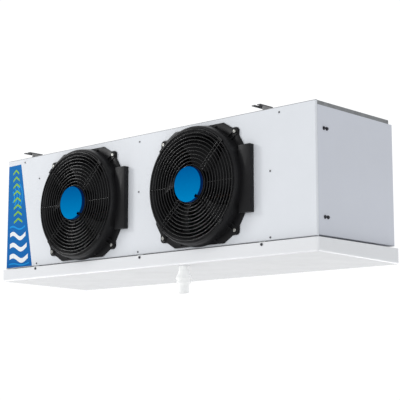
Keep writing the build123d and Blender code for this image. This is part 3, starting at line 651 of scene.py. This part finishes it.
def build_cap(fan):
    # the cap's blue carries painted light, lighter towards the bottom
    mt = M["blue_plastic"]
    prof = [(61.3, 50.6), (63.2, 50.6), (63.4, 52.0), (63.4, 61.8)] + [(60.9 + 2.5 * math.cos(math.radians(t)), 62.6 + 2.5 * math.sin(math.radians(t))) for t in (0, 20, 40, 60, 80)]
    prof += [(58.0, 65.35), (57.2, 65.2), (56.4, 65.35), (44.0, 65.6), (30.0, 65.8), (15.0, 65.93), (5.0, 65.98), (0.0, 66.0)]
    prof += [(0.0, 63.6), (40.0, 63.4), (59.0, 62.8), (61.3, 61.0)]
    cap = lathe("cap", prof, mt, segs=128)
    tool = block("notch", 56.0, 70.0, -6.0, 6.0, 40.0, 72.0, mt)
    tool.data.transform(Matrix.Rotation(math.radians(-48), 4, "Z"))
    cut(cap, [tool])
    bevel(cap, 0.5, 2, 50)
    sharp(cap, 30)
    # painted shade: the cap's side-facing faces take the darker blue
    cap.data.materials.append(M["blue_cap_side_shade"])
    for f in cap.data.polygons:
        if abs(f.normal.z) < 0.55:
            f.material_index = 1
    cap = place_fan(cap, fan)
    cap.name = fan + "_cap_shell"
    # clip that shows in the notch
    clip = block("clip", 56.6, 63.0, -4.6, 4.6, 50.7, 58.5, M["black_plastic"], 0.8, 2)
    clip.data.transform(Matrix.Rotation(math.radians(-48), 4, "Z"))
    clip = place_fan(clip, fan)
    clip.name = fan + "_cap_clip"
    return cap, clip


def build_impeller(fan):
    mt = M["black_blade"]
    prof = [(46.1, -13.9), (56.0, -13.9), (57.2, -13.2), (57.5, -11.5), (57.5, 27.5), (57.1, 29.6), (55.4, 30.9), (46.1, 30.9)]
    hub = lathe("hubring", prof, mt, segs=96)
    sharp(hub, 40)
    parts = [hub]
    stations = [(50.0, 78.0, 38.0, 0.0), (95.0, 98.0, 31.0, 6.0), (140.0, 116.0, 25.0, 16.0), (184.0, 130.0, 20.0, 28.0)]

    def at(r):
        for a, b in zip(stations, stations[1:]):
            if r <= b[0]:
                t = (r - a[0]) / (b[0] - a[0])
                return [a[k] + (b[k] - a[k]) * t for k in range(1, 4)]
        return list(stations[-1][1:])

    nr, nc = 22, 18
    for blade in range(5):
        verts, faces = [], []
        for i in range(nr + 1):
            r = 56.5 + (173.6 - 56.5) * i / nr
            chord, pitch, sw = at(r)
            # rounded outer corners of the blade
            edge = max(0.0, (r - 158.0) / 15.6)
            chord *= 1.0 - 0.10 * edge * edge
            b = math.radians(pitch)
            for side in (1, -1):
                for k in range(nc + 1):
                    s = -0.5 + k / nc
                    thick = 1.5 * math.sqrt(max(0.0, 1 - (2 * s) ** 2)) * (1.1 - 0.5 * (r - 56) / 118) + 0.35
                    camber = 6.5 * (1 - (2 * s) ** 2)
                    cc = s * chord
                    off = camber + side * thick
                    tang = cc * math.cos(b) - off * math.sin(b)
                    w = -4.0 + cc * math.sin(b) + off * math.cos(b) - 3.0
                    ang = math.radians(sw + 72.0 * blade) + tang / r
                    verts.append((r * math.cos(ang), r * math.sin(ang), w))
        row = 2 * (nc + 1)
        for i in range(nr):
            for k in range(nc):
                a0 = i * row + k
                a1 = (i + 1) * row + k
                faces.append((a0, a1, a1 + 1, a0 + 1))
                b0 = i * row + (nc + 1) + k
                b1 = (i + 1) * row + (nc + 1) + k
                faces.append((b0, b0 + 1, b1 + 1, b1))
            for k in (0, nc):
                t0, t1 = i * row + k, (i + 1) * row + k
                u0, u1 = i * row + nc + 1 + k, (i + 1) * row + nc + 1 + k
                faces.append((t0, u0, u1, t1))
        for i in (0, nr):
            for k in range(nc):
                a0 = i * row + k
                b0 = i * row + nc + 1 + k
                faces.append((a0, a0 + 1, b0 + 1, b0))
        bl = make("blade", verts, faces, mt)
        sharp(bl, 50)
        parts.append(bl)
    ob = place_fan(join(fan + "_impeller_blades", parts), fan)
    return ob


for fan in ("fan_1", "fan_2"):
    h = build_housing(fan)
    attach(h, "casing")
    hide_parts(fan + "_housing")
    g = build_guard(fan)
    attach(g, "casing")
    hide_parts(fan + "_guard")
    c, cl = build_cap(fan)
    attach(c, "casing")
    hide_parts(fan + "_hub_cap")
    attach(cl, "casing")
    im = build_impeller(fan)
    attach(im, fan)
    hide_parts(fan + "_impeller")

# ---------------------------------------------------------------------------
# drain coupling: tapered body, grip ring with ribs, ridged hose tail
# ---------------------------------------------------------------------------
clo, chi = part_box("drain_coupling")
cx, cy, ctop = (clo.x + chi.x) / 2, (clo.y + chi.y) / 2, chi.z


prof = [(16.6, 0.0), (18.2, 0.0), (18.8, -0.6), (19.1, -2.0)]
prof += [(19.1 + 9.1 * (1 - math.cos(math.radians(t))) * 0.5 + 9.1 * 0.5 * t / 90.0, -2.0 - 23.0 * t / 90.0) for t in range(10, 91, 8)]
prof += [(28.5, -27.2), (28.8, -29.0), (28.6, -30.6), (27.9, -31.6), (25.6, -32.8), (25.4, -33.6), (25.4, -35.6), (25.8, -37.0), (26.2, -38.0),
         (26.2, -43.4), (25.9, -44.6), (25.0, -46.0), (19.4, -46.0), (19.0, -46.5)]
for k in range(5):
    z = -50.5 - k * 6.0
    prof += [(18.6, z), (18.75, z - 3.4), (19.0, z - 4.4), (19.0, z - 5.2)]
prof += [(19.0, -79.2), (18.4, -80.6), (17.8, -81.0), (16.4, -81.0), (16.0, -80.4), (16.0, -42.2), (16.6, -42.2)]
body = lathe("body", prof, M["white_plastic"], segs=96)
sharp(body, 40)
cparts = [body]
for k in range(20):
    rb = block("grip", 25.2, 26.75, -0.9, 0.9, -43.2, -38.2, M["white_plastic"], 0.35, 2)
    rb.data.transform(Matrix.Rotation(2 * math.pi * k / 20, 4, "Z"))
    cparts.append(rb)
coupling = join("drain_coupling_body", cparts)
coupling.data.transform(Matrix.Translation((cx, cy, ctop)) @ Matrix.Scale(0.001, 4))
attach(coupling, "tray")
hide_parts("drain_coupling")

# ---------------------------------------------------------------------------
# coil fins: thin corrugated sheets at their real pitch
# ---------------------------------------------------------------------------
flo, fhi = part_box("coil_fins")
s = Soup()
NZ = 12
pitch = 0.006
count = int((fhi.x - flo.x - 0.002) / pitch)
for i in range(count):
    x = flo.x + 0.001 + i * pitch
    verts, faces = [], []
    for k in range(NZ + 1):
        y = flo.y + (fhi.y - flo.y) * k / NZ
        dx = 0.0008 if k % 2 else 0.0
        for t in (0.0, 0.00022):
            for z in (flo.z, fhi.z):
                verts.append((x + dx + t, y, z))
    for k in range(NZ):
        a, b = 4 * k, 4 * (k + 1)
        faces += [(a, b, b + 1, a + 1), (a + 2, a + 3, b + 3, b + 2), (a, a + 2, b + 2, b), (a + 1, b + 1, b + 3, a + 3)]
    faces += [(0, 1, 3, 2), (4 * NZ, 4 * NZ + 2, 4 * NZ + 3, 4 * NZ + 1)]
    s.add((verts, faces))
fins = make("coil_fin_sheets", s.v, s.f, M["aluminium_fin"], smooth=False)
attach(fins, "casing")
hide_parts("coil_fins")

# ---------------------------------------------------------------------------
# label: a plain blue film with waves, slanted bars and ripples
# ---------------------------------------------------------------------------


def panel_poly(name, pts, mat, lift):
    """Flat shape on the front panel from (x, z) points, a little proud of the film."""
    n = len(pts)
    verts = [(x, -0.28, z) for x, z in pts] + [(x, -0.28 - lift, z) for x, z in pts]
    faces = [tuple(range(n)), tuple(range(2 * n - 1, n - 1, -1))]
    for i in range(n):
        j = (i + 1) % n
        faces.append((i, n + i, n + j, j))
    return make(name, verts, faces, mat, smooth=False)


def band(f0, f1, n=40):
    top = [f1(i / n) for i in range(n + 1)]
    bot = [f0(i / n) for i in range(n + 1)]
    return bot + list(reversed(top))


def edge_x(z):
    return 167.0 - (z - 3.0) * 84.0 / 425.0


def wave(zc, half, amp, phase, xa=16.0, margin=14.0):
    def lo(t):
        x = xa + (edge_x(zc) - margin - xa) * t
        return (x, zc - half + amp * math.sin(2 * math.pi * t + phase))

    def hi(t):
        x = xa + (edge_x(zc) - margin - xa) * t
        return (x, zc + half + amp * math.sin(2 * math.pi * t + phase))
    return band(lo, hi)


def ring_piece(cx, cz, r, half, a0, a1, n=28):
    return band(lambda t: (cx + (r - half) * math.cos(math.radians(a0 + (a1 - a0) * t)), cz + (r - half) * math.sin(math.radians(a0 + (a1 - a0) * t))),
                lambda t: (cx + (r + half) * math.cos(math.radians(a0 + (a1 - a0) * t)), cz + (r + half) * math.sin(math.radians(a0 + (a1 - a0) * t))), n)


motifs = {"label_white": [], "label_green": [], "label_light": []}
# three broad ribbons of moving air, low on the film
for k, zc in enumerate((40.0, 86.0, 132.0)):
    motifs["label_white"].append(wave(zc, 9.5 - 0.6 * k, 11.0, 0.5, xa=22.0, margin=20.0))
# a climbing row of chevrons
for k in range(8):
    z = 184.0 + k * 29.0
    xc = (edge_x(z) + 4.0) / 2 + 4.0
    w = 27.0 - k * 1.1
    rise, st = 15.0, 8.6
    motifs["label_green"].append([(xc - w, z), (xc, z + rise), (xc + w, z), (xc + w, z + st), (xc, z + rise + st), (xc - w, z + st)])
# ripples that spread from the left edge, behind the chevrons
for k, r in enumerate((30.0, 47.0, 64.0, 81.0)):
    motifs["label_light"].append(ring_piece(14.0, 296.0, r, 3.4 - 0.3 * k, -52.0 + 3 * k, 50.0 - 3 * k))
motifs["label_light"].append(wave(166.0, 3.4, 7.0, 0.5, xa=18.0, margin=17.0))
motifs["label_light"].append(wave(15.0, 2.6, 4.0, 0.5, xa=18.0, margin=17.0))
for nm, lst in motifs.items():
    obs = [panel_poly("m", p, M[nm], 0.14 if nm != "label_light" else 0.08) for p in lst]
    ob = place_case(join("front_" + nm, obs))
    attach(ob, "casing")

# ---------------------------------------------------------------------------
# studio: pale floor, white surroundings, soft lights
# ---------------------------------------------------------------------------
WORLD_LOW, KEY_W, SIDE_W, FRONT_W = 0.60, 150.0, 9.0, 70.0
floor_mat = Mat("studio_floor")
floor_mat.colour(floor_mat.mix(floor_mat.remap(floor_mat.noise(0.8, 2.0), 0.3, 0.7), (0.86, 0.86, 0.86), (0.89, 0.89, 0.89)))
floor_mat.set(Roughness=0.75)
fz = Z0 - 3.7
fl = make("studio_floor", [(-14, -14, fz), (14, -14, fz), (14, 14, fz), (-14, 14, fz)], [(0, 1, 2, 3)], floor_mat.m, smooth=False)

world = bpy.data.worlds.new("studio")
scene.world = world
world.use_nodes = True
wn = world.node_tree
bg = wn.nodes["Background"]
tc = wn.nodes.new("ShaderNodeTexCoord")


def wnode(kind, **kw):
    n = wn.nodes.new(kind)
    for k, v in kw.items():
        setattr(n, k, v)
    return n


def wramp(val, a, b, c, d):
    n = wnode("ShaderNodeMapRange", interpolation_type="SMOOTHSTEP")
    for k, v in (("From Min", a), ("From Max", b), ("To Min", c), ("To Max", d)):
        n.inputs[k].default_value = v
    wn.links.new(val, n.inputs["Value"])
    return n.outputs["Result"]


dot = wnode("ShaderNodeVectorMath", operation="DOT_PRODUCT")
dot.inputs[1].default_value = tuple(Vector((-0.67, 0.73, 0.14)).normalized())
wn.links.new(tc.outputs["Generated"], dot.inputs[0])
sepz = wnode("ShaderNodeSeparateXYZ")
wn.links.new(tc.outputs["Generated"], sepz.inputs[0])
lobe = wramp(dot.outputs["Value"], 0.45, 0.90, 0.0, 1.0)
above = wramp(sepz.outputs["Z"], -0.10, -0.02, 0.25, 1.0)
mul = wnode("ShaderNodeMath", operation="MULTIPLY")
wn.links.new(lobe, mul.inputs[0])
wn.links.new(above, mul.inputs[1])
wn.links.new(wramp(mul.outputs[0], 0.0, 1.0, WORLD_LOW, 1.06), bg.inputs["Strength"])
bg.inputs["Color"].default_value = (0.985, 0.992, 1.0, 1.0)


def area(name, loc, target, size, power, size_y=None):
    d = bpy.data.lights.new(name, "AREA")
    d.energy = power
    d.shape = "RECTANGLE"
    d.size = size
    d.size_y = size_y or size
    o = bpy.data.objects.new(name, d)
    scene.collection.objects.link(o)
    o.location = loc
    o.rotation_euler = (Vector(target) - Vector(loc)).to_track_quat("-Z", "Y").to_euler()
    return o


mid = P(803, 200, 225)


def aim(name, direction, dist, size, power, size_y=None, target=None):
    t = target or mid
    v = Vector(direction).normalized()
    return area(name, tuple(t + v * dist), tuple(t), size, power, size_y)


aim("key", (-0.76, -0.54, 0.37), 8.0, 2.0, KEY_W)
aim("side", (0.95, -0.10, 0.10), 4.0, 3.0, SIDE_W).data.color = (0.86, 0.92, 1.0)
aim("front", (0.45, -0.88, 0.05), 6.0, 5.0, FRONT_W).data.color = (0.97, 0.985, 1.0)


def strip(name, direction, dist, long_axis, size, size_y, power, target):
    """Long soft light under the cooler, its long side along the given axis."""
    v = Vector(direction).normalized()
    o = area(name, tuple(target + v * dist), tuple(target), size, power, size_y)
    x = (Vector(long_axis) - v * v.dot(Vector(long_axis))).normalized()
    y = v.cross(x)
    mt = Matrix((x, y, v)).transposed().to_4x4()
    mt.translation = target + v * dist
    o.matrix_world = mt
    return o


strip("rim_front", (-0.66, -0.20, -0.72), 2.3, (1, 0, 0), 3.0, 0.5, 22.0, P(760, 0, -30))
strip("rim_side", (0.16, 0.72, -0.67), 2.3, (0, 1, 0), 1.6, 0.6, 14.0, P(1606, 220, -30))

scene.view_settings.view_transform = "Standard"
scene.view_settings.look = "None"
scene.view_settings.exposure = 0.0
scene.view_settings.gamma = 1.0
